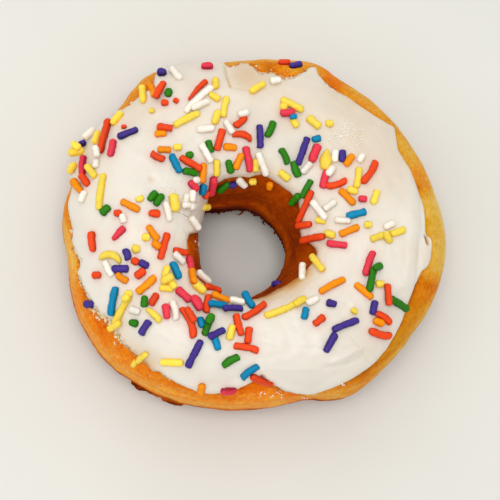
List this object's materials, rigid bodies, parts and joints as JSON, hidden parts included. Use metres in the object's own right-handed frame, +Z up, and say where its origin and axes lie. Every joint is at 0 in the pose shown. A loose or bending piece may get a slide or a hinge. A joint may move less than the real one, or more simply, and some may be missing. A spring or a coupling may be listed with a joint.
{
  "type": "sprinkle frosted doughnut",
  "caption": "Uneven ring of fried yeast dough with an open middle, coated on top with pale icing and scattered with coloured sugar strands.",
  "frame": {"origin": "middle of the bounding box, on the flat underside that the doughnut rests on", "axes": "+Z up through the hole, from the plain underside to the iced top; +X along the ring's slightly longer side; +Y completes the right-handed set"},
  "size_m": [0.0928, 0.0858, 0.0325],
  "materials": {
    "fried_crust": "golden fried dough crust: satin, slightly greasy, paler round the waist and orange brown towards the faces and in the hole",
    "white_icing": "set sugar icing: warm white, softly glossy, thin enough in places for the dough to warm it",
    "sprinkle_red": "waxed sugar strand, red",
    "sprinkle_orange": "waxed sugar strand, orange",
    "sprinkle_yellow": "waxed sugar strand, yellow",
    "sprinkle_green": "waxed sugar strand, green",
    "sprinkle_blue": "waxed sugar strand, blue",
    "sprinkle_purple": "waxed sugar strand, purple",
    "sprinkle_pink": "waxed sugar strand, pink",
    "sprinkle_white": "waxed sugar strand, white",
    "dried_glaze": "crumbs and grains of dried glaze and sugar along the icing's edge"
  },
  "bodies": {
    "root": {"dough": "fried_crust", "icing": "white_icing"}
  },
  "joints": []
}
